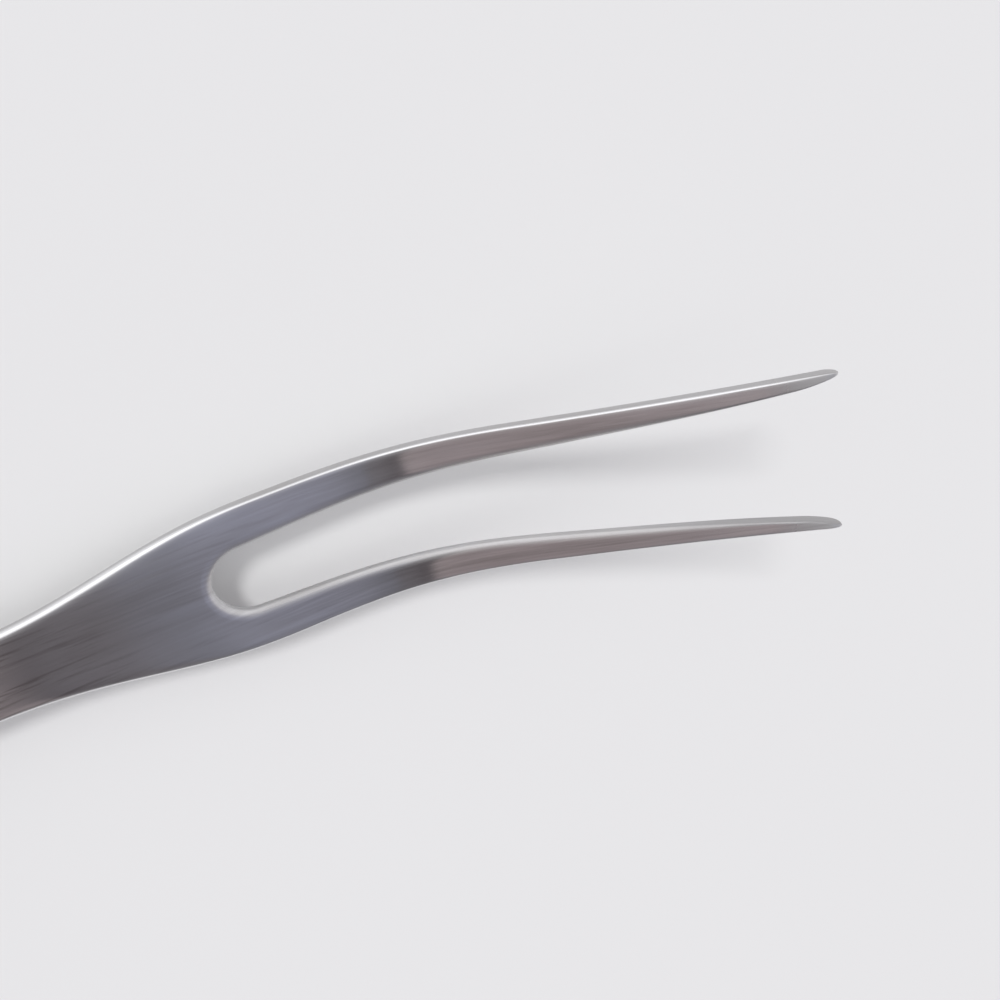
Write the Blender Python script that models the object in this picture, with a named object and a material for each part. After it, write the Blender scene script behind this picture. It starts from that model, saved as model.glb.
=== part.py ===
"""Two-tined carving fork: one bent and tapered steel plate whose full tang is held between two
hardwood scales by three two-piece rivets. It lies on its lower scale, tips up. +X runs to the tips."""

import math

import bmesh
import bpy
import numpy as np

for old in list(bpy.data.objects):
    bpy.data.objects.remove(old)

# Steel plate. Distances along it are measured on its upper face, from the bottom of the crotch.
TINE_LENGTH = 0.1002
HEAD_WIDTH = 0.02615
SLOT_WIDTH = 0.01164
TIP_WIDTH = 0.0013  # where the taper of a tine would end without its point
TIP_SPREAD = 0.00083  # how far each tip stands outside the head's own width
TIP_SPREAD_LENGTH = 0.0484  # the last stretch of a tine, over which it drifts outwards
POINT_CURVE = 0.00225  # how far the inner edge leaves its straight taper at the tip
POINT_POWER = 4.45  # how late along the tine that happens
POINT_LENGTH = 0.006  # the last stretch of a tine, where its inner edge rounds in to the point
POINT_WIDTH = 0.0003
BEND_ANGLE = math.radians(26.9)
BEND_START = 0.0117
BEND_LENGTH = 0.0435
SHOULDER_LENGTH = 0.0505  # from the neck's width to the head's width
SHOULDER_PAST_CROTCH = 0.0112
NECK_WIDTH = 0.0143
SHANK_LENGTH = 0.070  # from the crotch back to the front of the scales
TANG_FLARE_LENGTH = 0.016  # from the neck's width to the handle's width
SHANK_THICKNESS = 0.0022
TINE_THICKNESS = 0.00185
THINNING_BEHIND_CROTCH = 0.025
THINNING_LENGTH = 0.065
EDGE_RADIUS = 0.00035
SHANK_EDGE_RADIUS = 0.0010  # the shank's sides are nearly half round
ROUNDED_PAST_CROTCH = 0.012  # where the edges start to grow rounder towards the shank
ROUNDED_LENGTH = 0.028
TANG_EDGE_RADIUS = 0.0001

# Handle.
HANDLE_LENGTH = 0.120
HANDLE_FRONT_WIDTH = 0.0190
HANDLE_BUTT_WIDTH = 0.0250
HANDLE_WAIST = 0.0012  # how far each side draws in halfway along
BUTT_CORNER_RADIUS = 0.0095
SCALE_THICKNESS = 0.0075
SCALE_EDGE_RADIUS = 0.0042
SCALE_NOSE_RADIUS = 0.0050
SCALE_BUTT_RADIUS = 0.0042

# Rivets.
RIVET_POST_DIAMETER = 0.0025
RIVET_SLEEVE_WALL = 0.0007
RIVET_HEAD_OVERHANG = 0.0015  # how far a head reaches past the sleeve's wall
RIVET_HEAD_THICKNESS = 0.0015
RIVET_HEAD_RECESS = 0.0001
FRONT_RIVET_INSET = 0.018  # from the front of the scales
REAR_RIVET_INSET = 0.024  # from the butt
FIT_GAP = 0.0003  # between pieces that touch

# Mesh fineness.
ROUND_SIDES = 32
CORNER_STEPS = 3
CURVE_STEPS = 7
CROTCH_STEPS = 8
CROTCH_LEAD = 0.007  # how far the mesh lines lean back towards the shank at the crotch
TANG_STEPS = 12
FLARE_STEPS = 8
SHOULDER_STEPS = 12
TINE_STEPS = 36
TINE_STEP_POWER = 1.5  # above 1, the steps shorten towards the tips
SHORTEST_STEP = 0.0001
PATH_POINTS = 2001
FILLET_SHARE = 0.4  # the most of a wall that the rounding of one of its edges takes

# Levels, places and limits that follow from the sizes above.
FACE_Z = SCALE_THICKNESS + FIT_GAP + SHANK_THICKNESS
TOP_Z = FACE_Z + FIT_GAP + SCALE_THICKNESS
SLOT_RADIUS = SLOT_WIDTH / 2
BUTT_S = -SHANK_LENGTH - HANDLE_LENGTH
BUTT_CORNER = min(BUTT_CORNER_RADIUS, 2 * FILLET_SHARE * HANDLE_BUTT_WIDTH / 2)
NOSE_RADIUS = min(SCALE_NOSE_RADIUS, 2 * FILLET_SHARE * SCALE_THICKNESS)
BUTT_RADIUS = min(SCALE_BUTT_RADIUS, 2 * FILLET_SHARE * SCALE_THICKNESS)


def ease(u):
    """0 to 1 with no slope at either end."""
    u = np.clip(u, 0, 1)
    return u * u * (3 - 2 * u)


def soft_ease(u):
    """0 to 1 with neither slope nor curvature at either end."""
    u = np.clip(u, 0, 1)
    return u**3 * (u * (6 * u - 15) + 10)


def round_off(distance, radius):
    """How far a corner of this radius lies inside its square corner, at this distance from the end."""
    d = np.clip(distance, 0, radius)
    return radius - np.sqrt(radius**2 - (radius - d) ** 2)


def handle_half_width(from_front):
    u = from_front / HANDLE_LENGTH
    swell = (HANDLE_BUTT_WIDTH - HANDLE_FRONT_WIDTH) / 2 * ease(u)
    waist = HANDLE_WAIST * np.sin(np.pi * np.clip(u, 0, 1)) ** 2
    sides = HANDLE_FRONT_WIDTH / 2 + swell - waist
    return sides - round_off(HANDLE_LENGTH - from_front, BUTT_CORNER)


def outer_half_width(s):
    """Half the plate's width at the distances s: handle, neck, shoulder and tines."""
    shoulder = (s - SHOULDER_PAST_CROTCH + SHOULDER_LENGTH) / SHOULDER_LENGTH
    flare = (TANG_FLARE_LENGTH - SHANK_LENGTH - s) / TANG_FLARE_LENGTH
    spread = np.clip((s - TINE_LENGTH + TIP_SPREAD_LENGTH) / TIP_SPREAD_LENGTH, 0, 1)
    blade = (
        NECK_WIDTH / 2
        + (HEAD_WIDTH - NECK_WIDTH) / 2 * soft_ease(shoulder)
        + (HANDLE_FRONT_WIDTH - NECK_WIDTH) / 2 * soft_ease(flare)
        + TIP_SPREAD * spread**2
    )
    return np.where(s < -SHANK_LENGTH, handle_half_width(-SHANK_LENGTH - s), blade)


def slot_half_width(s):
    """Half the gap between the tines: a straight taper, a late curve and a quarter ellipse to the point."""
    u = (s - SLOT_RADIUS) / (TINE_LENGTH - SLOT_RADIUS)
    at_tip = HEAD_WIDTH / 2 + TIP_SPREAD - TIP_WIDTH
    straight = at_tip - SLOT_RADIUS - POINT_CURVE
    taper = SLOT_RADIUS + straight * u + POINT_CURVE * np.clip(u, 0, 1) ** POINT_POWER
    outer = outer_half_width(s)
    rounding = np.sqrt(1 - np.clip(1 - (TINE_LENGTH - s) / POINT_LENGTH, 0, 1) ** 2)
    return outer - POINT_WIDTH - (outer - taper - POINT_WIDTH) * rounding


def thickness(s):
    u = np.clip((s + THINNING_BEHIND_CROTCH) / THINNING_LENGTH, 0, 1)
    return SHANK_THICKNESS + (TINE_THICKNESS - SHANK_THICKNESS) * u


def edge_radius(s):
    """Radius of the plate's edges: that of the tang, or of the tines growing to that of the shank."""
    rounder = ease((ROUNDED_PAST_CROTCH - s) / ROUNDED_LENGTH)
    blade = EDGE_RADIUS + (SHANK_EDGE_RADIUS - EDGE_RADIUS) * rounder
    return np.where(s <= -SHANK_LENGTH, TANG_EDGE_RADIUS, blade)


def slope(s):
    return BEND_ANGLE * ease((s - BEND_START) / BEND_LENGTH)


PATH_S = np.linspace(0, TINE_LENGTH, PATH_POINTS)
PATH_STEP = PATH_S[1] - PATH_S[0]
PATH_MIDDLE_SLOPE = slope(PATH_S[:-1] + PATH_STEP / 2)
PATH_X = np.concatenate([[0], np.cumsum(np.cos(PATH_MIDDLE_SLOPE)) * PATH_STEP])
PATH_Z = np.concatenate([[0], np.cumsum(np.sin(PATH_MIDDLE_SLOPE)) * PATH_STEP])
TIP_X = PATH_X[-1] + TINE_THICKNESS * math.sin(slope(TINE_LENGTH))
CROTCH_X = (SHANK_LENGTH + HANDLE_LENGTH - TIP_X) / 2  # the whole fork is centred on X = 0
HANDLE_FRONT_X = CROTCH_X - SHANK_LENGTH
BUTT_X = HANDLE_FRONT_X - HANDLE_LENGTH


def on_plate(s, y, depth):
    """Points at depth below the upper face of the bent plate, as an array of x, y and z."""
    angle = slope(s)
    x = CROTCH_X + np.where(s < 0, s, np.interp(s, PATH_S, PATH_X)) + depth * np.sin(angle)
    z = FACE_Z + np.interp(s, PATH_S, PATH_Z) - depth * np.cos(angle)
    return np.stack([x, y, z], axis=-1)


def finish(name, colour, roughness, metallic):
    material = bpy.data.materials.new(name)
    material.use_nodes = True
    shader = material.node_tree.nodes["Principled BSDF"]
    shader.inputs["Base Color"].default_value = (*colour, 1)
    shader.inputs["Roughness"].default_value = roughness
    shader.inputs["Metallic"].default_value = metallic
    return material


def add_object(name, bm, material, parent):
    bmesh.ops.recalc_face_normals(bm, faces=bm.faces)
    mesh = bpy.data.meshes.new(name)
    bm.to_mesh(mesh)
    bm.free()
    mesh.shade_smooth()
    mesh.set_sharp_from_angle(angle=math.radians(35))
    obj = bpy.data.objects.new(name, mesh)
    obj.parent = parent
    if material:
        mesh.materials.append(material)
    bpy.context.scene.collection.objects.link(obj)
    return obj


def cut(obj, cutter):
    modifier = obj.modifiers.new(cutter.name, "BOOLEAN")
    modifier.operation = "DIFFERENCE"
    modifier.solver = "EXACT"
    modifier.object = cutter


def edge_section(radius, plate_thickness):
    """Inset and depth of the points round the plate's rounded edge, from its face to its back."""
    turn = np.linspace(0, math.pi / 2, CORNER_STEPS + 1)
    inset = radius[:, None] * (1 - np.sin(turn))
    depth = radius[:, None] * (1 - np.cos(turn))
    back = plate_thickness[:, None] - depth[:, ::-1]
    return np.hstack([inset, inset[:, ::-1]]), np.hstack([depth, back])


def edge_loop(s, y, facing, radius):
    """Points round one edge of the plate at each station; facing points into the steel."""
    inset, depth = edge_section(radius, thickness(s))
    return on_plate(s[:, None] + facing[0][:, None] * inset, y[:, None] + facing[1][:, None] * inset, depth)


def square_to(s, y, side):
    """Unit vectors square to the curve through the points s, y, to its left (+1) or right (-1)."""
    run = np.stack([np.gradient(s), np.gradient(y)])
    return np.stack([-run[1], run[0]]) * side / np.hypot(*run)


def plate_stations():
    """Matching points along half the plate: s, y and facing on its inner side, and s on its outer side.

    The inner side is the middle line up to the crotch, and then the slot's edge.
    """
    quarter = np.linspace(0, math.pi / 2, CURVE_STEPS + 1)
    butt = BUTT_S + BUTT_CORNER * (1 - np.cos(quarter))
    tang = np.linspace(BUTT_S + BUTT_CORNER, -SHANK_LENGTH, TANG_STEPS + 1)
    flare = np.linspace(-SHANK_LENGTH, TANG_FLARE_LENGTH - SHANK_LENGTH, FLARE_STEPS + 1)
    shoulder = np.linspace(SHOULDER_PAST_CROTCH - SHOULDER_LENGTH, -CROTCH_LEAD, SHOULDER_STEPS + 1)
    straight = np.unique(np.concatenate([butt, tang, flare, shoulder]))
    straight = straight[straight <= -CROTCH_LEAD]
    straight = straight[np.diff(straight, append=0) > SHORTEST_STEP]

    turn = np.linspace(0, math.pi / 2, CROTCH_STEPS + 1)
    arc_s = SLOT_RADIUS * (1 - np.cos(turn))
    arc_y = SLOT_RADIUS * np.sin(turn)
    arc_facing = np.stack([-np.cos(turn), np.sin(turn)])
    arc_outer = np.linspace(-CROTCH_LEAD, SLOT_RADIUS, CROTCH_STEPS + 2)[1:]

    to_go = np.linspace(1, 0, TINE_STEPS + 1)[1:] ** TINE_STEP_POWER
    tine_s = TINE_LENGTH - (TINE_LENGTH - SLOT_RADIUS) * to_go
    tine_y = slot_half_width(tine_s)
    tine_facing = square_to(tine_s, tine_y, 1)

    inner_s = np.concatenate([straight, arc_s, tine_s])
    inner_y = np.concatenate([np.zeros_like(straight), arc_y, tine_y])
    middle_facing = np.zeros((2, len(straight)))
    inner_facing = np.hstack([middle_facing, arc_facing, tine_facing])
    outer_s = np.concatenate([straight, arc_outer, tine_s])
    return inner_s, inner_y, inner_facing, outer_s


def plate_half():
    """Half the plate, as a loop of points round its section at each station along it."""
    inner_s, inner_y, inner_facing, outer_s = plate_stations()
    outer_y = outer_half_width(outer_s)
    most = FILLET_SHARE * np.minimum(outer_y - inner_y, thickness(outer_s))
    radius = np.minimum(edge_radius(outer_s), most)
    outer = edge_loop(outer_s, outer_y, square_to(outer_s, outer_y, -1), radius)
    inner = edge_loop(inner_s, inner_y, inner_facing, radius)
    return np.concatenate([outer, inner[:, ::-1]], axis=1)


def skin(rings, is_wanted=lambda quad: True):
    """A mesh over rings of as many points each, closed by a face at either end."""
    bm = bmesh.new()
    loops = [[bm.verts.new(point) for point in ring] for ring in rings]
    for loop, after in zip(loops, loops[1:]):
        for i in range(len(loop)):
            quad = (loop[i - 1], after[i - 1], after[i], loop[i])
            if is_wanted(quad):
                bm.faces.new(quad)
    bm.faces.new(loops[0])
    bm.faces.new(loops[-1])
    return bm


def off_the_middle(quad):
    return any(vert.co.y > TANG_EDGE_RADIUS / 10 for vert in quad)


def fork_plate(material, parent):
    obj = add_object("fork_plate", skin(plate_half(), off_the_middle), material, parent)
    mirror = obj.modifiers.new("both_sides", "MIRROR")
    mirror.use_axis = (False, True, False)
    mirror.merge_threshold = TANG_EDGE_RADIUS / 10
    return obj


def scale_height(from_front):
    """Thickness of a scale, rounded off at its nose and at the butt."""
    nose = round_off(from_front, NOSE_RADIUS)
    butt = round_off(HANDLE_LENGTH - from_front, BUTT_RADIUS)
    return SCALE_THICKNESS - nose - butt


def handle_scale(name, side, material, parent):
    """A scale on side +1 (upper) or -1 (lower), with its origin on the tang's face at the front."""
    quarter = np.linspace(0, math.pi / 2, CURVE_STEPS + 1)
    nose = NOSE_RADIUS * (1 - np.cos(quarter))
    body = np.linspace(NOSE_RADIUS, HANDLE_LENGTH - BUTT_CORNER, TANG_STEPS + 1)[1:-1]
    butt = HANDLE_LENGTH - BUTT_CORNER * (1 - np.cos(quarter[::-1]))
    from_front = np.concatenate([nose, body, butt])
    half = handle_half_width(from_front)[:, None]
    height = scale_height(from_front)[:, None]
    radius = np.minimum(SCALE_EDGE_RADIUS, 2 * FILLET_SHARE * np.minimum(height, half))
    across = np.hstack([half, half - radius * (1 - np.cos(quarter))])
    up = np.hstack([np.zeros_like(height), height - radius * (1 - np.sin(quarter))]) + FIT_GAP
    y = np.hstack([across, -across[:, ::-1]])
    z = np.hstack([up, up[:, ::-1]]) * side
    x = np.broadcast_to(-from_front[:, None], y.shape)
    obj = add_object(name, skin(np.stack([x, y, z], axis=-1)), material, parent)
    obj.location = (HANDLE_FRONT_X, 0, FACE_Z if side > 0 else FACE_Z - SHANK_THICKNESS)
    return obj


def turned(name, profile, x, material, parent):
    """A piece turned about a vertical axis at x, from its profile of radii and heights."""
    bm = bmesh.new()
    points = [bm.verts.new((radius, 0, z)) for radius, z in profile]
    edges = [bm.edges.new(pair) for pair in zip(points, points[1:])]
    turn = {"cent": (0, 0, 0), "axis": (0, 0, 1), "angle": math.tau, "steps": ROUND_SIDES}
    bmesh.ops.spin(bm, geom=points + edges, use_merge=True, **turn)
    bmesh.ops.remove_doubles(bm, verts=bm.verts, dist=FIT_GAP / 100)
    obj = add_object(name, bm, material, parent)
    obj.location.x = x
    obj.rotation_euler.z = math.pi / ROUND_SIDES  # a flat, not a corner, on the plate's middle line
    return obj


def rivet(place, x, material, parent):
    """A rivet's sleeve, from below, and the post pressed into it from above. Returns its hole."""
    post = RIVET_POST_DIAMETER / 2
    bore = post + FIT_GAP
    sleeve = bore + RIVET_SLEEVE_WALL
    head = sleeve + RIVET_HEAD_OVERHANG
    foot = RIVET_HEAD_RECESS
    floor = foot + RIVET_HEAD_THICKNESS
    post_end = floor + FIT_GAP
    crown = TOP_Z - RIVET_HEAD_RECESS
    under_crown = crown - RIVET_HEAD_THICKNESS
    sleeve_top = under_crown - FIT_GAP
    post_profile = [
        (0, crown),
        (head, crown),
        (head, under_crown),
        (post, under_crown),
        (post, post_end),
        (0, post_end),
    ]
    sleeve_profile = [
        (0, floor),
        (bore, floor),
        (bore, sleeve_top),
        (sleeve, sleeve_top),
        (sleeve, floor),
        (head, floor),
        (head, foot),
        (0, foot),
    ]
    seat = head + FIT_GAP
    hole = sleeve + FIT_GAP
    hole_profile = [
        (0, TOP_Z + SCALE_THICKNESS),
        (seat, TOP_Z + SCALE_THICKNESS),
        (seat, sleeve_top),
        (hole, sleeve_top),
        (hole, floor + FIT_GAP),
        (seat, floor + FIT_GAP),
        (seat, -SCALE_THICKNESS),
        (0, -SCALE_THICKNESS),
    ]
    turned(f"rivet_post_{place}", post_profile, x, material, parent)
    turned(f"rivet_sleeve_{place}", sleeve_profile, x, material, parent)
    cutter = turned(f"rivet_hole_{place}", hole_profile, x, None, parent)
    cutter.hide_render = True
    cutter.display_type = "WIRE"
    return cutter


root = bpy.data.objects.new("carving_fork", None)
bpy.context.scene.collection.objects.link(root)

plate_steel = finish("brushed_stainless", (0.56, 0.55, 0.55), 0.32, 1.0)
rivet_steel = finish("polished_rivet_steel", (0.62, 0.61, 0.58), 0.24, 1.0)
scale_wood = finish("oiled_walnut", (0.16, 0.085, 0.045), 0.5, 0.0)

pieces = [
    fork_plate(plate_steel, root),
    handle_scale("upper_scale", 1, scale_wood, root),
    handle_scale("lower_scale", -1, scale_wood, root),
]
front_x = HANDLE_FRONT_X - FRONT_RIVET_INSET
rear_x = BUTT_X + REAR_RIVET_INSET
places = {"front": front_x, "middle": (front_x + rear_x) / 2, "rear": rear_x}
for place, x in places.items():
    hole = rivet(place, x, rivet_steel, root)
    for piece in pieces:
        cut(piece, hole)
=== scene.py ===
"""Looks of a two-tined carving fork: brushed steel plate, walnut scales and flush rivets on a pale floor."""

import math

import bpy
import numpy as np
from mathutils import Matrix, Vector


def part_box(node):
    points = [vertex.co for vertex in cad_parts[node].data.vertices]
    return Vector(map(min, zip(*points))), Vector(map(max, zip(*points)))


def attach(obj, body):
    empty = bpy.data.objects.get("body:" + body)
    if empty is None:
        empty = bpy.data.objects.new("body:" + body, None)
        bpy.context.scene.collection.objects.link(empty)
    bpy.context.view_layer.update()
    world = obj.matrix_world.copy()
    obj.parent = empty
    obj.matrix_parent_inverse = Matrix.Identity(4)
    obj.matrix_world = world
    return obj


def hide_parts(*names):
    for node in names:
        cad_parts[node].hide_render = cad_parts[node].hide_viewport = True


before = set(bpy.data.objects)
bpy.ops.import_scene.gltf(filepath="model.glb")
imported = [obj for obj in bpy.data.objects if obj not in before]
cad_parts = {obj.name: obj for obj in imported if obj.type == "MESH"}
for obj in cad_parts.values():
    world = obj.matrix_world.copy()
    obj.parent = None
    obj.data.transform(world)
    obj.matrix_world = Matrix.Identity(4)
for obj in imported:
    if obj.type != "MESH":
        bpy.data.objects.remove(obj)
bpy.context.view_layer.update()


# The fork plate is one piece of stainless sheet: two tines, crotch, shank and the tang in the handle.
# It is blanked out, ground thinner towards the tips, bent upwards past the crotch and brushed along
# its length. A belt rolls its edges over, most of all along the shank.
TINE_LENGTH = 0.1002  # distances along the plate are measured on its upper face, from the crotch
HEAD_WIDTH = 0.02615
SLOT_RADIUS = 0.00582
TIP_WIDTH = 0.0013  # where the taper of a tine would end without its point
TIP_SPREAD = 0.00083  # how far each tip stands outside the head's own width
TIP_SPREAD_LENGTH = 0.0484  # the last stretch of a tine, over which it drifts outwards
POINT_CURVE = 0.00225  # how far the inner edge leaves its straight taper at the tip
POINT_POWER = 4.45  # how late along the tine that happens
POINT_LENGTH = 0.006  # the last stretch of a tine, where its inner edge rounds in to the point
POINT_WIDTH = 0.00006
TIP_NOSE = 0.0024  # length of the rounded nose at the very end
TIP_TUCK = 0.0002  # how far the nose leans in from the outer edge
NOSE_POWER = 2.2  # the nose is a superellipse of this power
NOSE_LEVEL = 0.6  # depth of the nose's end, as a share of half the thickness
NOSE_END = 0.995  # share of the nose's length at which a small cap closes it
BEND_ANGLE = math.radians(26.9)
BEND_START = 0.0117
BEND_LENGTH = 0.0435
SHOULDER_LENGTH = 0.0505
SHOULDER_PAST_CROTCH = 0.0112
NECK_WIDTH = 0.0143
SHANK_LENGTH = 0.070
TANG_FLARE_LENGTH = 0.016
SHANK_THICKNESS = 0.0022
TINE_THICKNESS = 0.00185
THINNING_BEHIND_CROTCH = 0.025
THINNING_LENGTH = 0.065
HANDLE_FRONT_WIDTH = 0.0190
HANDLE_BUTT_WIDTH = 0.0250
HANDLE_WAIST = 0.0012  # how far each side draws in halfway along
BUTT_CORNER = 0.0095
OUTER_EDGE = {"radius": 0.00040, "roll": 0.0120, "power": 26}
SHANK_EDGE = {"radius": 0.00100, "roll": 0.0200, "power": 30}
ROUNDED_PAST_CROTCH = 0.012  # where the outer edges start to grow rounder towards the shank
ROUNDED_LENGTH = 0.028
SLOT_EDGE = {"radius": 0.00060, "roll": 0.0070, "power": 7}
CRISP_START = 0.060  # where the slot's edges start to grow crisper towards the tips
CRISP_LENGTH = 0.032
CRISP_SHARE = 0.6  # how much smaller they are there
SLOT_EDGE_SHARE = 0.46  # the most of the thickness that one edge of the slot takes
EDGE_ROOM = 0.9  # the most of a narrow tine that its two rolled edges take
TANG_EDGE_SHARE = 0.1  # the tang's edges stay nearly sharp, flush with the wood
TANG_EDGE_LENGTH = 0.005  # in front of the handle, over which they grow to the shank's
GRIND_WAVE = 0.000006  # depth of the waves that grinding leaves in the faces
CROTCH_LEAD = 0.009  # how far the mesh lines lean back towards the shank at the crotch
BUTT_LEAD = 0.006  # how far the mesh lines lean forwards at the butt
WALL_MAP_SHIFT = 0.1  # keeps the walls' part of the brush map clear of the faces' part
SHARP_ANGLE = math.radians(40)  # a turn above this is shaded as a crease
STEEL_DARK = (0.52, 0.507, 0.503, 1)
STEEL_PALE = (0.72, 0.712, 0.71, 1)
STEEL_HAZE = (0.76, 0.76, 0.78, 1)
# painted reflection: the lighter tone of the shoulder's flanks
STEEL_SHOULDER_REFLECTION = (0.79, 0.79, 0.80, 1)
STEEL_WORN = (0.86, 0.88, 0.89, 1)
STEEL_STAIN = (0.30, 0.275, 0.265, 1)
# painted shade on the slot's walls
SLOT_PAINTED_SHADE = (0.36, 0.352, 0.355, 1)
# painted highlight on the polished outer edges
EDGE_PAINTED_HIGHLIGHT = (0.88, 0.88, 0.89, 1)
WALL_SHADE = (0.42, 0.41, 0.41, 1)

handle_front_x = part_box("upper_scale")[1].x
handle_length = handle_front_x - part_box("fork_plate")[0].x
crotch_x = handle_front_x + SHANK_LENGTH
cad_gap = (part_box("upper_scale")[0].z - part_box("lower_scale")[1].z - SHANK_THICKNESS) / 2
face_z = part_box("upper_scale")[0].z - cad_gap


def ease(u):
    """0 to 1 with no slope at either end: 3u^2 - 2u^3."""
    u = np.clip(u, 0, 1)
    return u * u * (3 - 2 * u)


def soft_ease(u):
    """0 to 1 with neither slope nor curvature at either end: 6u^5 - 15u^4 + 10u^3."""
    u = np.clip(u, 0, 1)
    return u**3 * (u * (6 * u - 15) + 10)


def handle_half_width(from_front):
    """Half the handle's width: an eased swell to the butt, less a sine-squared waist and a round corner."""
    u = from_front / handle_length
    swell = (HANDLE_BUTT_WIDTH - HANDLE_FRONT_WIDTH) / 2 * ease(u)
    waist = HANDLE_WAIST * np.sin(np.pi * np.clip(u, 0, 1)) ** 2
    left = np.clip(handle_length - from_front, 0, BUTT_CORNER)
    corner = BUTT_CORNER - np.sqrt(BUTT_CORNER**2 - (BUTT_CORNER - left) ** 2)
    return HANDLE_FRONT_WIDTH / 2 + swell - waist - corner


def outer_half_width(s):
    """Half the plate's width: the neck, eased out to the head in front and to the handle behind."""
    shoulder = (s - SHOULDER_PAST_CROTCH + SHOULDER_LENGTH) / SHOULDER_LENGTH
    flare = (TANG_FLARE_LENGTH - SHANK_LENGTH - s) / TANG_FLARE_LENGTH
    spread = np.clip((s - TINE_LENGTH + TIP_SPREAD_LENGTH) / TIP_SPREAD_LENGTH, 0, 1)
    blade = (
        NECK_WIDTH / 2
        + (HEAD_WIDTH - NECK_WIDTH) / 2 * soft_ease(shoulder)
        + (HANDLE_FRONT_WIDTH - NECK_WIDTH) / 2 * soft_ease(flare)
        + TIP_SPREAD * spread**2
    )
    return np.where(s < -SHANK_LENGTH, handle_half_width(-SHANK_LENGTH - s), blade)


def slot_half_width(s):
    """Half the gap between the tines: a straight taper, a late power curve and a quarter ellipse."""
    u = (s - SLOT_RADIUS) / (TINE_LENGTH - SLOT_RADIUS)
    straight = HEAD_WIDTH / 2 + TIP_SPREAD - TIP_WIDTH - SLOT_RADIUS - POINT_CURVE
    taper = SLOT_RADIUS + straight * u + POINT_CURVE * np.clip(u, 0, 1) ** POINT_POWER
    outer = outer_half_width(s)
    rounding = np.sqrt(1 - np.clip(1 - (TINE_LENGTH - s) / POINT_LENGTH, 0, 1) ** 2)
    return outer - POINT_WIDTH - (outer - taper - POINT_WIDTH) * rounding


def plate_thickness(s):
    """A straight taper from the shank's thickness to the tines'."""
    u = np.clip((s + THINNING_BEHIND_CROTCH) / THINNING_LENGTH, 0, 1)
    return SHANK_THICKNESS + (TINE_THICKNESS - SHANK_THICKNESS) * u


def bend_at(s):
    """Slope of the plate: an eased turn through the bend's angle."""
    return BEND_ANGLE * ease((s - BEND_START) / BEND_LENGTH)


def on_plate(s, y, depth):
    """Points at depth under the bent upper face: its x and z are sums of cosine and sine of the slope."""
    path = np.linspace(0, TINE_LENGTH, 4001)
    step = path[1] - path[0]
    middle = bend_at(path[:-1] + step / 2)
    path_x = np.concatenate([[0], np.cumsum(np.cos(middle)) * step])
    path_z = np.concatenate([[0], np.cumsum(np.sin(middle)) * step])
    angle = bend_at(s)
    x = crotch_x + np.where(s < 0, s, np.interp(s, path, path_x)) + depth * np.sin(angle)
    z = face_z + np.interp(s, path, path_z) - depth * np.cos(angle)
    return np.stack([x, y, z], axis=-1)


def rolled_edge(radius, roll, power, steps=14):
    """Inset and depth from a face to the wall beside it, and the share of the quarter turn made so far.

    The surface turns from face to wall while its radius of curvature falls from roll to radius, by a
    power of the turn that is left; inset and depth add up that radius times the cosine and the sine.
    The points lie closer together near the face, where the surface turns slowly.
    """
    share = np.linspace(0, 1, steps + 1) ** 1.6
    fine = np.linspace(0, 1, 2001)
    bend = radius + (roll - radius) * (1 - fine) ** power
    run = np.cumsum(bend * np.cos(fine * np.pi / 2)) * np.pi / 2 / len(fine)
    drop = np.cumsum(bend * np.sin(fine * np.pi / 2)) * np.pi / 2 / len(fine)
    return np.interp(share, fine, run[-1] - run), np.interp(share, fine, drop), share


def square_to(s, y, side):
    """Unit vectors square to the curve through the points s, y, to its left (+1) or right (-1)."""
    run = np.stack([np.gradient(s), np.gradient(y)])
    return np.stack([-run[1], run[0]]) * side / np.hypot(*run)


def plate_stations():
    """Matching points along half the plate, on its inner side (middle line, then slot) and its outer side.

    Each side gives s, y and the unit vectors that face into the steel.
    """
    quarter = np.linspace(0, math.pi / 2, 41)
    butt_s = -SHANK_LENGTH - handle_length
    end_y = np.linspace(0, handle_half_width(handle_length), 9)[:-1]
    end_lead = np.linspace(butt_s + 0.7 * BUTT_LEAD, butt_s + BUTT_LEAD, 9)[:-1]
    corner = 1 - np.cos(quarter[::2])
    tang = np.linspace(butt_s + BUTT_CORNER, -SHANK_LENGTH, 46)[1:]
    shank = np.linspace(-SHANK_LENGTH, -CROTCH_LEAD, 80)[1:]
    corner_lead = butt_s + BUTT_LEAD + (BUTT_CORNER - BUTT_LEAD) * corner
    straight = np.concatenate([end_lead, corner_lead, tang, shank])
    arc_outer = np.linspace(-CROTCH_LEAD, SLOT_RADIUS, len(quarter) + 1)[1:]
    tine = np.linspace(SLOT_RADIUS, TINE_LENGTH - POINT_LENGTH, 180)[1:]
    point = TINE_LENGTH - POINT_LENGTH * (1 - np.sin(quarter[1:]))
    tine = np.concatenate([tine, point])
    inner_s = np.concatenate([straight, SLOT_RADIUS * (1 - np.cos(quarter)), tine])
    inner_y = np.concatenate([0 * straight, SLOT_RADIUS * np.sin(quarter), slot_half_width(tine)])
    no_facing = np.zeros((2, len(straight)))
    arc_facing = np.stack([-np.cos(quarter), np.sin(quarter)])
    tine_facing = square_to(tine, slot_half_width(tine), 1)
    inner_facing = np.hstack([no_facing, arc_facing, tine_facing])
    butt = np.concatenate([0 * end_y + butt_s, butt_s + BUTT_CORNER * corner])
    outer_s = np.concatenate([butt, tang, shank, arc_outer, tine])
    outer_y = outer_half_width(outer_s)
    outer_y[: len(end_y)] = end_y
    return inner_s, inner_y, inner_facing, outer_s, outer_y, square_to(outer_s, outer_y, -1)


def length_along(s, y):
    """Length of the line through the points s, y, counted from the point nearest to the crotch."""
    run = np.concatenate([[0], np.cumsum(np.hypot(np.diff(s), np.diff(y)))])
    return run - run[np.argmin(np.abs(s))]


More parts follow.
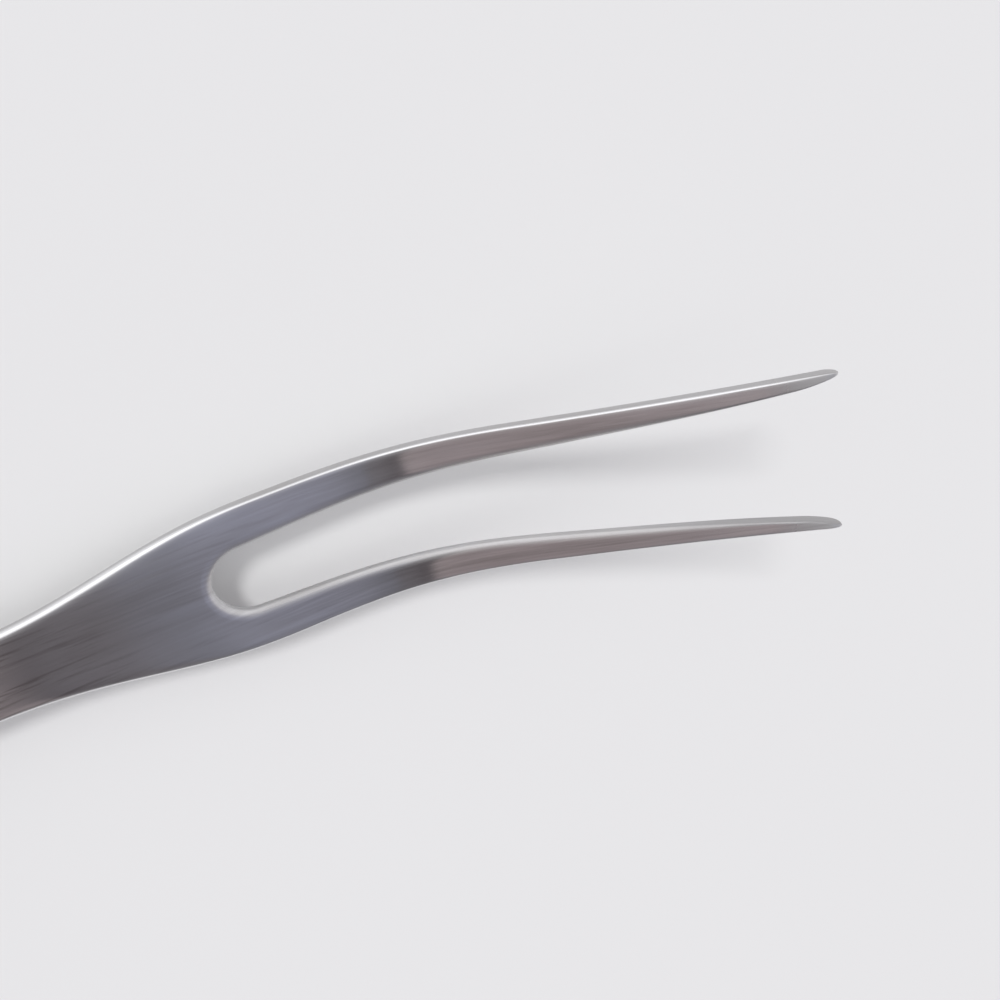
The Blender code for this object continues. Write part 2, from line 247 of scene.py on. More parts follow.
def edge_points(s, y, facing, edge, share, sign):
    """Points s, y, depth and signed turn over one rolled edge at every station, from face to wall."""
    inset, depth, turn = edge
    inset = share[:, None] * inset
    depth = share[:, None] * depth
    turn = np.broadcast_to(sign * turn, inset.shape)
    edge_s = s[:, None] + facing[0][:, None] * inset
    edge_y = y[:, None] + facing[1][:, None] * inset
    return np.stack([edge_s, edge_y, depth, turn])


def between(start, end, count):
    """Evenly spaced points from start to end, without the end points themselves."""
    share = np.linspace(0, 1, count + 1)[1:-1]
    return start[:, :, None] * (1 - share) + end[:, :, None] * share


def plate_half():
    """Half the plate as a grid: stations along it by points round its section.

    Each point has its s, y and depth, its turn over an edge, and the length along its side of the plate.
    Two crossing sine waves, 12 and 20 mm long, stand for the grinding. A superellipse rounds off the nose
    of the tip.
    """
    inner_s, inner_y, inner_facing, outer_s, outer_y, outer_facing = plate_stations()
    thick = plate_thickness(outer_s)
    tine_edge = rolled_edge(**OUTER_EDGE)
    shank_edge = rolled_edge(**SHANK_EDGE)
    slot_edge = rolled_edge(**SLOT_EDGE)
    room = np.hypot(outer_y - inner_y, outer_s - inner_s)
    in_front = ease((outer_s + SHANK_LENGTH) / TANG_EDGE_LENGTH)
    fits = np.minimum(1, EDGE_ROOM * room / (tine_edge[0][0] + slot_edge[0][0]))
    outer_share = fits * (TANG_EDGE_SHARE + (1 - TANG_EDGE_SHARE) * in_front)
    crisper = 1 - CRISP_SHARE * ease((outer_s - CRISP_START) / CRISP_LENGTH)
    slot_share = crisper * fits * np.minimum(1, SLOT_EDGE_SHARE * thick / slot_edge[1][-1])
    rounder = ease((ROUNDED_PAST_CROTCH - outer_s) / ROUNDED_LENGTH)[:, None]
    outer_edge = [one + (other - one) * rounder for one, other in zip(tine_edge, shank_edge)]
    outer = edge_points(outer_s, outer_y, outer_facing, outer_edge, outer_share, 1)
    inner = edge_points(inner_s, inner_y, inner_facing, slot_edge, slot_share, -1)
    under = np.array([1, 1, -1, 1])[:, None, None]
    lift = np.stack([0 * thick, 0 * thick, thick, 0 * thick])[:, :, None]
    outer_back = (outer * under + lift)[:, :, ::-1]
    inner_back = inner * under + lift
    loop = [
        inner[:, :, :1],
        between(inner[:, :, 0], outer[:, :, 0], 10),
        outer,
        between(outer[:, :, -1], outer_back[:, :, 0], 4),
        outer_back,
        between(outer_back[:, :, -1], inner_back[:, :, 0], 10),
        inner_back,
        between(inner_back[:, :, -1], inner[:, :, -1], 4),
        inner[:, :, :0:-1],
    ]
    s, y, depth, turn = np.concatenate(loop, axis=2)
    half = thick[:, None] / 2
    past = np.clip((outer_s - TINE_LENGTH + TIP_NOSE) / TIP_NOSE, 0, NOSE_END)[:, None]
    y = y - TIP_TUCK * past**2
    level = NOSE_LEVEL * half
    depth = level + (depth - level) * (1 - past**NOSE_POWER) ** (1 / NOSE_POWER)
    wave = np.sin(s * 530 + 1.1 * np.sin(y * 410)) + np.sin(s * 310 - y * 260 + 2)
    depth = depth + GRIND_WAVE * wave * np.where(depth < half, 1, -1)
    outer_run = length_along(outer_s, outer_y)[:, None]
    inner_run = length_along(inner_s, inner_y)[:, None]
    return s, y, depth, turn, np.where(turn > 0, outer_run, inner_run)


def mesh_object(name, points, faces, corner_maps=None, point_maps=None):
    """An object from welded points and faces, with UV maps per face corner and attributes per point."""
    mesh = bpy.data.meshes.new(name)
    mesh.from_pydata(points.tolist(), [], faces)
    for layer, values in (corner_maps or {}).items():
        mesh.uv_layers.new(name=layer).data.foreach_set("uv", values.astype(np.float32).ravel())
    for layer, values in (point_maps or {}).items():
        mesh.attributes.new(layer, "FLOAT", "POINT").data.foreach_set("value", values.astype(np.float32))
    mesh.shade_smooth()
    mesh.set_sharp_from_angle(angle=SHARP_ANGLE)
    obj = bpy.data.objects.new(name, mesh)
    bpy.context.scene.collection.objects.link(obj)
    return obj


def grid_quads(rows, columns):
    """Corner numbers of the quads of a grid that closes on itself from its last column to its first."""
    row, column = np.meshgrid(np.arange(rows - 1), np.arange(columns), indexing="ij")
    after = (column + 1) % columns
    start = row * columns
    end = start + columns
    return np.stack([start + column, end + column, end + after, start + after], axis=-1).reshape(-1, 4)


def end_caps(rows, columns):
    """Corner numbers of the two faces that close the first and the last row of such a grid."""
    first = np.arange(columns)
    return np.stack([first, (first + (rows - 1) * columns)[::-1]])


def fork_plate():
    """Both halves of the plate, welded along the middle line, with end caps at the tips.

    The quads that lie in the middle line's upright plane are left out, so that the halves make one skin. The
    brush map is s and y on the faces, and the length along the side and the depth on the walls.
    """
    s, y, depth, turn, run = (grid.astype(float) for grid in plate_half())
    rows, columns = s.shape
    half = on_plate(s, y, depth).reshape(-1, 3)
    quads = grid_quads(rows, columns)
    quads = quads[(y.ravel()[quads] > 1e-7).any(axis=1)]
    caps = end_caps(rows, columns)[1:]
    on_wall = (np.abs(turn).ravel()[quads] > 0.5).all(axis=1)
    points = np.vstack([half, half * (1, -1, 1)])
    quads = np.vstack([quads, quads[:, ::-1] + len(half)])
    caps = np.vstack([caps, caps[:, ::-1] + len(half)])
    _, first, weld = np.unique(np.round(points, 7), axis=0, return_index=True, return_inverse=True)
    weld = weld.reshape(-1)
    used, numbers = np.unique(np.concatenate([weld[quads].ravel(), weld[caps].ravel()]), return_inverse=True)
    new_quads = numbers[: quads.size].reshape(quads.shape)
    new_caps = numbers[quads.size :].reshape(caps.shape)
    face_map = np.stack([s.ravel(), y.ravel()], axis=-1)
    face_map = np.vstack([face_map, face_map * (1, -1)])
    wall_map = np.stack([run.ravel(), depth.ravel() + WALL_MAP_SHIFT], axis=-1)
    wall_map = np.vstack([wall_map, wall_map])
    quad_map = np.where(np.tile(on_wall, 2)[:, None, None], wall_map[quads], face_map[quads])
    corner_map = np.vstack([quad_map.reshape(-1, 2), face_map[caps].reshape(-1, 2)])
    edge = np.tile(turn.ravel(), 2)[first[used]]
    faces = new_quads.tolist() + new_caps.tolist()
    return mesh_object("steel_plate", points[first[used]], faces, {"brush": corner_map}, {"edge": edge})


def add_node(tree, kind, inputs=None, **settings):
    """A shader node with its settings; each input is a value or another node's output."""
    node = tree.nodes.new(kind)
    for name, value in settings.items():
        setattr(node, name, value)
    for name, value in (inputs or {}).items():
        if isinstance(value, bpy.types.NodeSocket):
            tree.links.new(value, node.inputs[name])
        else:
            node.inputs[name].default_value = value
    return node


def math_node(tree, operation, a, b=0.0):
    """One sum, product or other operation on two values."""
    return add_node(tree, "ShaderNodeMath", {0: a, 1: b}, operation=operation).outputs[0]


def remap(tree, value, low, high, to_low, to_high):
    """A value moved from one range to another and held inside it."""
    limits = {"Value": value, "From Min": low, "From Max": high, "To Min": to_low, "To Max": to_high}
    return add_node(tree, "ShaderNodeMapRange", limits).outputs[0]


def weighted_sum(tree, first, first_weight, second, second_weight):
    """Two values, each multiplied by its weight, added up."""
    first = math_node(tree, "MULTIPLY", first, first_weight)
    second = math_node(tree, "MULTIPLY", second, second_weight)
    return math_node(tree, "ADD", first, second)


def fade(tree, factor, first, second):
    """A value between two values."""
    return add_node(tree, "ShaderNodeMix", {0: factor, 2: first, 3: second}).outputs[0]


def blend(tree, factor, first, second):
    """A colour between two colours."""
    mix = add_node(tree, "ShaderNodeMix", {0: factor, 6: first, 7: second}, data_type="RGBA")
    return mix.outputs[2]


def stretched_noise(tree, vector, stretch, detail, place=(0, 0, 0)):
    """Noise on coordinates multiplied by a factor for each axis."""
    mapping = add_node(tree, "ShaderNodeMapping", {"Vector": vector, "Scale": stretch, "Location": place})
    noise = {"Vector": mapping.outputs[0], "Scale": 1.0, "Detail": detail, "Roughness": 0.6}
    return add_node(tree, "ShaderNodeTexNoise", noise).outputs["Fac"]


def new_material(name):
    """A material with only its Principled shader and output."""
    material = bpy.data.materials.new(name)
    material.use_nodes = True
    return material, material.node_tree, material.node_tree.nodes["Principled BSDF"]


def brushed_steel():
    """Stainless steel on the brush map, with belt streaks that are noise drawn out along the plate.

    The streaks set the tone and the dullness. Over them lie a haze, a painted reflection on the flanks of
    the shoulder, worn tips, stains towards the handle, painted shade on the slot's walls, polished outer
    edges with a painted highlight, and shaded walls below these.
    """
    material, tree, shader = new_material("brushed_stainless")
    brush = add_node(tree, "ShaderNodeUVMap", uv_map="brush").outputs[0]
    place = add_node(tree, "ShaderNodeSeparateXYZ", {0: brush}).outputs
    along = place["X"]
    edge = add_node(tree, "ShaderNodeAttribute", attribute_name="edge").outputs["Fac"]
    polished = remap(tree, edge, 0.10, 0.35, 0, 1)
    slot_wall = remap(tree, edge, -0.06, -0.30, 0, 1)
    off_outer_edge = math_node(tree, "SUBTRACT", 1.0, polished)
    off_edge = math_node(tree, "SUBTRACT", 1.0, math_node(tree, "MAXIMUM", polished, slot_wall))

    broad = stretched_noise(tree, brush, (16, 600, 1), 2)
    fine = stretched_noise(tree, brush, (60, 1700, 1), 2, (3, 1, 0))
    hair = stretched_noise(tree, brush, (90, 7000, 1), 2, (7, 5, 0))
    scratch = remap(tree, stretched_noise(tree, brush, (40, 5000, 1), 1, (1, 9, 0)), 0.68, 0.78, 0, 1)
    streak = weighted_sum(tree, broad, 0.6, fine, 0.4)
    tone = blend(tree, remap(tree, streak, 0.36, 0.64, 0, 1), STEEL_DARK, STEEL_PALE)

    haze = remap(tree, stretched_noise(tree, brush, (30, 150, 1), 2, (9, 4, 0)), 0.42, 0.68, 0, 0.45)
    tone = blend(tree, haze, tone, STEEL_HAZE)

    # Painted reflection: the shoulder's flanks are lightened, most on the +Y side beside the bright edge.
    onto_shoulder = remap(tree, along, -0.026, -0.010, 0, 1)
    off_shoulder = remap(tree, along, 0.004, 0.014, 1, 0)
    shoulder = math_node(tree, "MINIMUM", onto_shoulder, off_shoulder)
    lean = math_node(tree, "MULTIPLY", along, -0.18)
    left_flank = remap(tree, math_node(tree, "ADD", lean, place["Y"]), 0.0070, 0.0112, 0, 0.8)
    right_flank = remap(tree, math_node(tree, "SUBTRACT", lean, place["Y"]), 0.003, 0.009, 0, 0.5)
    flanks = math_node(tree, "MAXIMUM", left_flank, right_flank)
    tone = blend(tree, math_node(tree, "MULTIPLY", shoulder, flanks), tone, STEEL_SHOULDER_REFLECTION)

    onto_tip = remap(tree, along, 0.062, 0.092, 0, 0.6)
    off_tip = remap(tree, along, 0.087, 0.097, 0.6, 0.15)
    worn_tip = math_node(tree, "MINIMUM", onto_tip, off_tip)
    tone = blend(tree, math_node(tree, "MULTIPLY", worn_tip, off_edge), tone, STEEL_WORN)

    stain = remap(tree, stretched_noise(tree, brush, (75, 1300, 1), 2, (5, 2, 0)), 0.54, 0.68, 0, 0.55)
    stain = math_node(tree, "MULTIPLY", stain, remap(tree, along, -0.014, -0.036, 0.30, 1.5))
    tone = blend(tree, math_node(tree, "MULTIPLY", stain, off_outer_edge), tone, STEEL_STAIN)

    # Painted shade: the slot's walls are darkened, more towards the tips.
    slot_shade = math_node(tree, "MULTIPLY", slot_wall, remap(tree, along, 0.062, 0.088, 0.2, 0.6))
    tone = blend(tree, slot_shade, tone, SLOT_PAINTED_SHADE)
    # Painted highlight: the polished outer edges are lightened partway round their turn; their polish itself
    # is the lower roughness set below.
    edge_highlight = math_node(tree, "MULTIPLY", polished, remap(tree, edge, 0.62, 0.92, 0.8, 0))
    tone = blend(tree, edge_highlight, tone, EDGE_PAINTED_HIGHLIGHT)
    tone = blend(tree, remap(tree, edge, 0.75, 1.0, 0, 0.5), tone, WALL_SHADE)
    tree.links.new(tone, shader.inputs["Base Color"])
    shader.inputs["Metallic"].default_value = 1

    dull = weighted_sum(tree, remap(tree, streak, 0.34, 0.66, 0.17, 0.12), 1.0, scratch, 0.06)
    dull = fade(tree, polished, dull, 0.22)
    dull = fade(tree, slot_wall, dull, 0.31)
    dull = fade(tree, remap(tree, along, 0.0890, 0.0990, 0, 1), dull, 0.45)
    tree.links.new(dull, shader.inputs["Roughness"])
    shader.inputs["Anisotropic"].default_value = 0.92
    shader.inputs["Anisotropic Rotation"].default_value = 0.25
    tangent = add_node(tree, "ShaderNodeTangent", direction_type="UV_MAP", uv_map="brush").outputs[0]
    tree.links.new(tangent, shader.inputs["Tangent"])

    height = weighted_sum(tree, fine, 1.6, hair, 0.25)
    height = weighted_sum(tree, height, 1.0, scratch, -0.2)
    bump = add_node(tree, "ShaderNodeBump", {"Strength": 0.3, "Distance": 0.000006, "Height": height})
    tree.links.new(bump.outputs[0], shader.inputs["Normal"])
    return material


plate = fork_plate()
plate.data.materials.append(brushed_steel())
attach(plate, "root")
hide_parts("fork_plate")


# The handle's two scales are slips of oiled walnut, glued to the tang and shaped with it, so that their
# sides run flush with the steel. Their noses and butts are rounded over, their long edges broken.
GLUE_LINE = 0.00005
SCALE_EDGE = 0.0042
SCALE_EDGE_OF_HEIGHT = 0.8  # the most of a scale's height that its long edges take
SCALE_EDGE_OF_WIDTH = 0.9  # and the most of half its width
SCALE_EDGE_POWER = 2.2  # the long edges are superellipses of this power
SCALE_END_POWER = 2.3  # and so are the nose and the butt
NOSE_LENGTH = 0.0054
NOSE_FOOT = 0.0020  # height of the upright part of a scale's nose
NOSE_CORNER = 0.0005  # how far the upright corners of the nose are drawn in
NOSE_CORNER_LENGTH = 0.001
BUTT_LENGTH = 0.0046
BUTT_FOOT = 0.0030
WALNUT_EARLY = (0.215, 0.112, 0.055, 1)
WALNUT_MIDDLE = (0.145, 0.071, 0.034, 1)
WALNUT_LATE = (0.075, 0.035, 0.017, 1)
WALNUT_RUBBED = (0.26, 0.145, 0.075, 1)
WALNUT_PORE = (0.028, 0.014, 0.008, 1)
RING_SPACING = 1 / 330

scale_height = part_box("upper_scale")[1].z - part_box("upper_scale")[0].z
top_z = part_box("upper_scale")[1].z


def super_quarter(u, power):
    """A quarter of a superellipse, from 0 at u = 0 to 1 at u = 1, that is upright at its start."""
    u = np.clip(u, 0, 1)
    return (1 - (1 - u) ** power) ** (1 / power)


def handle_scale(name, side):
    """A scale lofted along the handle through sections with upright sides and a flat top.

    Superellipses join the sides to the top, and let the top down to the foot of the nose and of the butt.
    """
    quarter = np.linspace(0, math.pi / 2, 25)
    nose = NOSE_LENGTH * (1 - np.cos(quarter))
    body = np.linspace(NOSE_LENGTH, handle_length - BUTT_CORNER, 70)[1:-1]
    butt = handle_length - BUTT_CORNER * (1 - np.cos(quarter[::-1]))
    along = np.concatenate([nose, body, butt])
    height = scale_height + cad_gap - GLUE_LINE
    from_butt = handle_length - along
    up = NOSE_FOOT + (height - NOSE_FOOT) * super_quarter(along / NOSE_LENGTH, SCALE_END_POWER)
    up = up - (height - BUTT_FOOT) * (1 - super_quarter(from_butt / BUTT_LENGTH, SCALE_END_POWER))
    up = up[:, None]
    corner = NOSE_CORNER * (1 - super_quarter(along / NOSE_CORNER_LENGTH, 2))
    half = (handle_half_width(along) - corner)[:, None]
    reach = np.minimum(SCALE_EDGE_OF_HEIGHT * up, SCALE_EDGE_OF_WIDTH * half)
    reach = np.minimum(SCALE_EDGE, reach)
    turn = np.linspace(0, math.pi / 2, 17)
    out = np.cos(turn) ** (2 / SCALE_EDGE_POWER)
    rise = np.sin(turn) ** (2 / SCALE_EDGE_POWER)
    wall = np.linspace(0, 1, 6)[None, :-1]
    top = np.linspace(1, -1, 13)[None, 1:-1]
    side_y = np.hstack([half + 0 * wall, half - reach * (1 - out)])
    side_z = np.hstack([(up - reach) * wall, up - reach * (1 - rise)])
    worn = np.hstack([0 * wall + 0 * half, np.sin(2 * turn) + 0 * half])
    y = np.hstack([side_y, (half - reach) * top, -side_y[:, ::-1]])
    z = np.hstack([side_z, up + 0 * top, side_z[:, ::-1]])
    worn = np.hstack([worn, 0 * top + 0 * half, worn[:, ::-1]])
    x = np.broadcast_to(handle_front_x - along[:, None], y.shape)
    base = face_z + GLUE_LINE if side > 0 else face_z - SHANK_THICKNESS - GLUE_LINE
    points = np.stack([x, y, base + side * z], axis=-1)
    rows, columns = y.shape
    quads = grid_quads(rows, columns)
    caps = end_caps(rows, columns)
    if side < 0:
        quads = quads[:, ::-1]
        caps = caps[:, ::-1]
    faces = quads.tolist() + caps.tolist()
    return mesh_object(name, points.reshape(-1, 3), faces, None, {"worn": worn.ravel()})


def colour_ramp(tree, value, stops):
    """A colour that changes evenly from stop to stop, each a position and a colour."""
    ramp = add_node(tree, "ShaderNodeValToRGB", {0: value})
    elements = ramp.color_ramp.elements
    for position, colour in stops[1:-1]:
        elements.new(position).color = colour
    elements[0].position, elements[0].color = stops[0]
    elements[-1].position, elements[-1].color = stops[-1]
    return ramp.outputs[0]


def oiled_walnut(name, place):
    """Dark wood: rings about a tilted axis beside the scale, with a slow rise and a quick fall of colour.

    Fibres, clouds and open pores are noise drawn out along the handle, and worn edges are rubbed paler.
    """
    material, tree, shader = new_material(name)
    coords = add_node(tree, "ShaderNodeTexCoord").outputs["Object"]
    tilt = {"Vector": coords, "Location": place, "Rotation": (0.2, 0.05, 0.035)}
    lie = add_node(tree, "ShaderNodeMapping", tilt).outputs[0]
    drift = stretched_noise(tree, lie, (14, 90, 90), 2)
    xyz = add_node(tree, "ShaderNodeSeparateXYZ", {"Vector": lie}).outputs
    square_y = math_node(tree, "POWER", xyz["Y"], 2.0)
    square_z = math_node(tree, "POWER", xyz["Z"], 2.0)
    radius = math_node(tree, "SQRT", math_node(tree, "ADD", square_y, square_z))
    rings = weighted_sum(tree, radius, 1 / RING_SPACING, drift, 2.6)
    ring = math_node(tree, "FRACT", rings)
    late = colour_ramp(tree, ring, [(0.0, (0, 0, 0, 1)), (0.86, (1, 1, 1, 1)), (1.0, (0, 0, 0, 1))])
    fibre = stretched_noise(tree, coords, (60, 2600, 2600), 3)
    cloud = stretched_noise(tree, coords, (25, 120, 120), 2, (4, 2, 1))
    pore = remap(tree, stretched_noise(tree, coords, (170, 3400, 3400), 1, (2, 6, 3)), 0.62, 0.70, 0, 1)
    grain = weighted_sum(tree, late, 0.45, fibre, 0.55)
    grain = weighted_sum(tree, grain, 1.0, math_node(tree, "SUBTRACT", cloud, 0.5), 0.5)
    tone = colour_ramp(tree, grain, [(0.18, WALNUT_EARLY), (0.5, WALNUT_MIDDLE), (0.85, WALNUT_LATE)])
    worn = add_node(tree, "ShaderNodeAttribute", attribute_name="worn").outputs["Fac"]
    rubbed = math_node(tree, "MULTIPLY", worn, remap(tree, cloud, 0.4, 0.6, 0.05, 0.35))
    tone = blend(tree, rubbed, tone, WALNUT_RUBBED)
    tone = blend(tree, math_node(tree, "MULTIPLY", pore, 0.75), tone, WALNUT_PORE)
    tree.links.new(tone, shader.inputs["Base Color"])
    rough = weighted_sum(tree, remap(tree, fibre, 0.3, 0.7, 0.40, 0.54), 1.0, pore, 0.2)
    tree.links.new(rough, shader.inputs["Roughness"])
    shader.inputs["Coat Weight"].default_value = 0.12
    shader.inputs["Coat Roughness"].default_value = 0.30
    height = weighted_sum(tree, fibre, 0.35, pore, -1.0)
    bump = add_node(tree, "ShaderNodeBump", {"Strength": 0.6, "Distance": 0.00004, "Height": height})
    tree.links.new(bump.outputs[0], shader.inputs["Normal"])
    return material


upper_scale = handle_scale("walnut_upper_scale", 1)
upper_scale.data.materials.append(oiled_walnut("oiled_walnut_upper", (0.0, 0.012, 0.020)))
lower_scale = handle_scale("walnut_lower_scale", -1)
lower_scale.data.materials.append(oiled_walnut("oiled_walnut_lower", (0.3, -0.009, -0.026)))
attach(upper_scale, "root")
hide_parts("upper_scale")
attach(lower_scale, "root")
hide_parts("lower_scale")


# Three two-piece rivets hold the handle: a sleeve with a broad head comes from below, and a post with
# the same head is pressed into it from above. Both heads are ground flush with the wood and polished.
POST_RADIUS = 0.00125
BORE_RADIUS = 0.00129
SLEEVE_RADIUS = 0.00225
HEAD_RADIUS = 0.00375
HEAD_THICKNESS = 0.0015
HEAD_RECESS = 0.00006
HEAD_DOME = 0.00005
HEAD_CHAMFER = 0.00012
SEAT_GAP = 0.00005
POLE_RADIUS = 0.0002  # of the small flat that closes a turned piece on its axis
HOLE_OVERRUN = 0.002  # how far a hole's cutter reaches out of the wood
RIVET_DARK = (0.44, 0.43, 0.415, 1)
RIVET_PALE = (0.60, 0.59, 0.565, 1)


def turned(name, profile, x):
    """A solid of revolution about an upright axis at x, through a profile of radii and heights."""
    radius, height = np.array(profile).T
    turn = np.linspace(0, 2 * math.pi, 97)[:-1] + 0.01
    out_x = radius[:, None] * np.cos(turn)
    out_y = radius[:, None] * np.sin(turn)
    points = np.stack([x + out_x, out_y, height[:, None] + 0 * turn], axis=-1)
    rows, columns = points.shape[:2]
    faces = grid_quads(rows, columns).tolist() + end_caps(rows, columns).tolist()
    return mesh_object(name, points.reshape(-1, 3), faces)


def head_profile(level, side):
    """A rivet head's profile from its middle to the foot of its edge: a shallow dome, then a chamfer."""
    radius = np.linspace(POLE_RADIUS, HEAD_RADIUS - HEAD_CHAMFER, 9)
    crown = level - side * HEAD_DOME * (radius / HEAD_RADIUS) ** 2
    rim = level - side * (HEAD_DOME + HEAD_CHAMFER)
    foot = level - side * HEAD_THICKNESS
    return list(zip(radius, crown)) + [(HEAD_RADIUS, rim), (HEAD_RADIUS, foot)]


def drill(obj, cutter):
    """Cuts a solid out of an object for good."""
    modifier = obj.modifiers.new("hole", "BOOLEAN")
    modifier.operation = "DIFFERENCE"
    modifier.solver = "EXACT"
    modifier.object = cutter
    shaped = obj.evaluated_get(bpy.context.evaluated_depsgraph_get())
    mesh = bpy.data.meshes.new_from_object(shaped)
    obj.modifiers.clear()
    obj.data = mesh
    mesh.set_sharp_from_angle(angle=SHARP_ANGLE)


def rivet_steel():
    """Polished steel with fine lines from grinding the heads flush along the handle."""
    material, tree, shader = new_material("polished_rivet_steel")
    coords = add_node(tree, "ShaderNodeTexCoord").outputs["Object"]
    lines = stretched_noise(tree, coords, (300, 6000, 300), 3)
    patch = stretched_noise(tree, coords, (500, 500, 500), 2, (1, 2, 3))
    tree.links.new(blend(tree, lines, RIVET_DARK, RIVET_PALE), shader.inputs["Base Color"])
    shader.inputs["Metallic"].default_value = 1
    rough = weighted_sum(tree, remap(tree, lines, 0.3, 0.7, 0.18, 0.30), 1.0, patch, 0.08)
    tree.links.new(rough, shader.inputs["Roughness"])
    bump = add_node(tree, "ShaderNodeBump", {"Strength": 0.4, "Distance": 0.000004, "Height": lines})
    tree.links.new(bump.outputs[0], shader.inputs["Normal"])
    return material


head_steel = rivet_steel()
rest_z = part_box("lower_scale")[0].z
for place in ("front", "middle", "rear"):
    low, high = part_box(f"rivet_post_{place}")
    x = (low.x + high.x) / 2
    crown = top_z - HEAD_RECESS
    foot = rest_z + HEAD_RECESS
    under_crown = crown - HEAD_THICKNESS
    floor_level = foot + HEAD_THICKNESS
    sleeve_top = under_crown - SEAT_GAP
    post_line = head_profile(crown, 1) + [
        (POST_RADIUS, under_crown),
        (POST_RADIUS, floor_level + SEAT_GAP),
        (POLE_RADIUS, floor_level + SEAT_GAP),
    ]
    sleeve_line = head_profile(foot, -1) + [
        (SLEEVE_RADIUS, floor_level),
        (SLEEVE_RADIUS, sleeve_top),
        (BORE_RADIUS, sleeve_top),
        (BORE_RADIUS, floor_level),
        (POLE_RADIUS, floor_level),
    ]
    hole_line = [
        (POLE_RADIUS, top_z + HOLE_OVERRUN),
        (HEAD_RADIUS + SEAT_GAP, top_z + HOLE_OVERRUN),
        (HEAD_RADIUS + SEAT_GAP, sleeve_top),
        (SLEEVE_RADIUS + SEAT_GAP, sleeve_top),
        (SLEEVE_RADIUS + SEAT_GAP, floor_level + SEAT_GAP),
        (HEAD_RADIUS + SEAT_GAP, floor_level + SEAT_GAP),
        (HEAD_RADIUS + SEAT_GAP, rest_z - HOLE_OVERRUN),
        (POLE_RADIUS, rest_z - HOLE_OVERRUN),
    ]
    post = turned(f"{place}_rivet_post", post_line, x)
    sleeve = turned(f"{place}_rivet_sleeve", sleeve_line[::-1], x)
    hole = turned(f"{place}_rivet_hole", hole_line, x)
    for piece in (plate, upper_scale, lower_scale):
        drill(piece, hole)
    bpy.data.objects.remove(hole)
    for piece, node in ((post, f"rivet_post_{place}"), (sleeve, f"rivet_sleeve_{place}")):
        piece.data.materials.append(head_steel)
        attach(piece, "root")
        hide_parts(node)


# The studio: a pale floor under the handle, a soft lamp and a bright window on one side, a darker
# ceiling for the steel to reflect, pale walls that meet the floor, and the photograph's camera.
FLOOR_SIZE = 60.0
FLOOR_DROP = 0.00005
FLOOR_COLOUR = (0.69, 0.69, 0.69, 1)
LAMP_STRENGTH = 1.6
LAMP_WIDTH = math.radians(10)
LAMP_HEADING = Vector((0.26, -0.66, -0.71))
CEILING_REACH = (-0.4, 0.5)  # along x, for a heading of length 1
CEILING_BANDS = [
    (0.060, (0.338, 0.285, 0.294, 1)),
    (0.120, (0.370, 0.314, 0.322, 1)),
    (0.149, (0.395, 0.340, 0.347, 1)),
    (0.157, (0.100, 0.088, 0.098, 1)),
    (0.190, (0.106, 0.093, 0.103, 1)),
    (0.226, (0.151, 0.137, 0.150, 1)),
    (0.288, (0.160, 0.149, 0.165, 1)),
    (0.306, (0.192, 0.192, 0.229, 1)),
    (0.350, (0.205, 0.206, 0.246, 1)),
    (0.400, (0.272, 0.274, 0.333, 1)),
    (0.444, (0.298, 0.303, 0.376, 1)),
    (0.667, (0.345, 0.348, 0.422, 1)),
    (0.944, (0.75, 0.74, 0.78, 1)),
]
CEILING_END = (0.24, 0.236, 0.25, 1)  # on the side away from the window
WINDOW_PLAIN = (1.00, 1.00, 1.02, 1)
WINDOW_BRIGHT = (1.34, 1.34, 1.36, 1)
WALL_COLOUR = (0.806, 0.802, 0.814, 1)
CAMERA_FROM_CROTCH = Vector((0.00926, 0.08514, 0.13715))
CAMERA_ALONG = Vector((0.2318, -0.5298, -0.8158))
PICTURE_UP = Vector((0.3703, 0.8236, -0.4297))
LENS = 36.0

floor_corners = np.array([(-0.5, -0.5), (0.5, -0.5), (0.5, 0.5), (-0.5, 0.5)]) * FLOOR_SIZE
floor_corners = np.column_stack([floor_corners, np.full(4, -FLOOR_DROP)])
floor_mesh = bpy.data.meshes.new("floor")
floor_mesh.from_pydata(floor_corners.tolist(), [], [(0, 1, 2, 3)])
floor = bpy.data.objects.new("floor", floor_mesh)
bpy.context.scene.collection.objects.link(floor)
floor_finish, floor_tree, floor_shader = new_material("pale_floor")
floor_shader.inputs["Base Color"].default_value = FLOOR_COLOUR
floor_shader.inputs["Roughness"].default_value = 0.9
floor_shader.inputs["Specular IOR Level"].default_value = 0
floor_mesh.materials.append(floor_finish)

lamp = bpy.data.lights.new("far_lamp", "SUN")
lamp.energy = LAMP_STRENGTH
lamp.angle = LAMP_WIDTH
lamp_object = bpy.data.objects.new("far_lamp", lamp)
lamp_object.rotation_euler = LAMP_HEADING.to_track_quat("-Z", "Y").to_euler()
lamp_object.visible_glossy = False
bpy.context.scene.collection.objects.link(lamp_object)

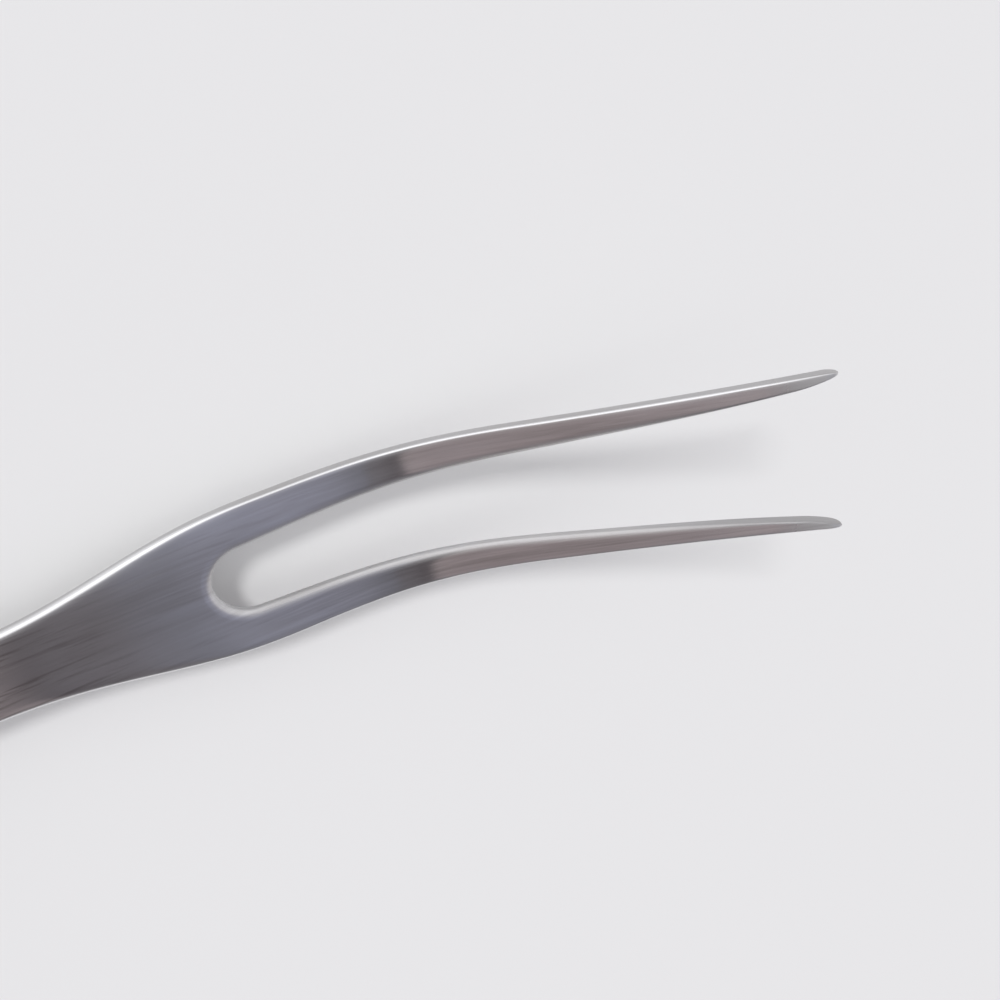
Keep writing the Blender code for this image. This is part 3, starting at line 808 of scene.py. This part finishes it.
# The room's colour by heading: bands across the ceiling, a little slanted, the window with its glow on
# the +Y side, and walls low down all round.
world = bpy.data.worlds.new("studio")
bpy.context.scene.world = world
world.use_nodes = True
sky = world.node_tree
direction = add_node(sky, "ShaderNodeTexCoord").outputs["Generated"]
heading = add_node(sky, "ShaderNodeSeparateXYZ", {0: direction}).outputs
near_slant = remap(sky, heading["Y"], -0.60, -0.55, -0.030, 0)
far_slant = remap(sky, heading["Y"], -0.48, -0.10, 0, 0.133)
across = math_node(sky, "ADD", heading["X"], math_node(sky, "ADD", near_slant, far_slant))
ceiling = colour_ramp(sky, remap(sky, across, *CEILING_REACH, 0, 1), CEILING_BANDS)
ceiling = blend(sky, remap(sky, heading["Y"], -0.62, -0.78, 0, 0.7), ceiling, CEILING_END)
left_pane = remap(sky, heading["X"], -0.20, 0.10, 1, 0)
upper_pane = remap(sky, heading["Z"], 0.30, 0.52, 0, 1)
pane = blend(sky, math_node(sky, "MULTIPLY", left_pane, upper_pane), WINDOW_PLAIN, WINDOW_BRIGHT)
window = remap(sky, heading["Y"], -0.10, 0.15, 0, 1)
glow = remap(sky, heading["Y"], -0.46, 0.0, 0, 0.4)
room = blend(sky, math_node(sky, "MAXIMUM", window, glow), ceiling, pane)
wall = remap(sky, heading["Z"], 0.22, 0.36, 1, 0)
sky.links.new(blend(sky, wall, room, WALL_COLOUR), sky.nodes["Background"].inputs["Color"])

camera = bpy.data.cameras.new("photograph_view")
camera.lens = LENS
camera.sensor_width = LENS
camera.clip_start = 0.005
camera_object = bpy.data.objects.new("photograph_view", camera)
right = CAMERA_ALONG.cross(PICTURE_UP).normalized()
up = right.cross(CAMERA_ALONG).normalized()
facing = Matrix((right, up, -CAMERA_ALONG.normalized())).transposed().to_4x4()
crotch = Vector((crotch_x, 0, face_z))
camera_object.matrix_world = Matrix.Translation(crotch + CAMERA_FROM_CROTCH) @ facing
bpy.context.scene.collection.objects.link(camera_object)
bpy.context.scene.camera = camera_object
bpy.context.scene.view_settings.view_transform = "Standard"
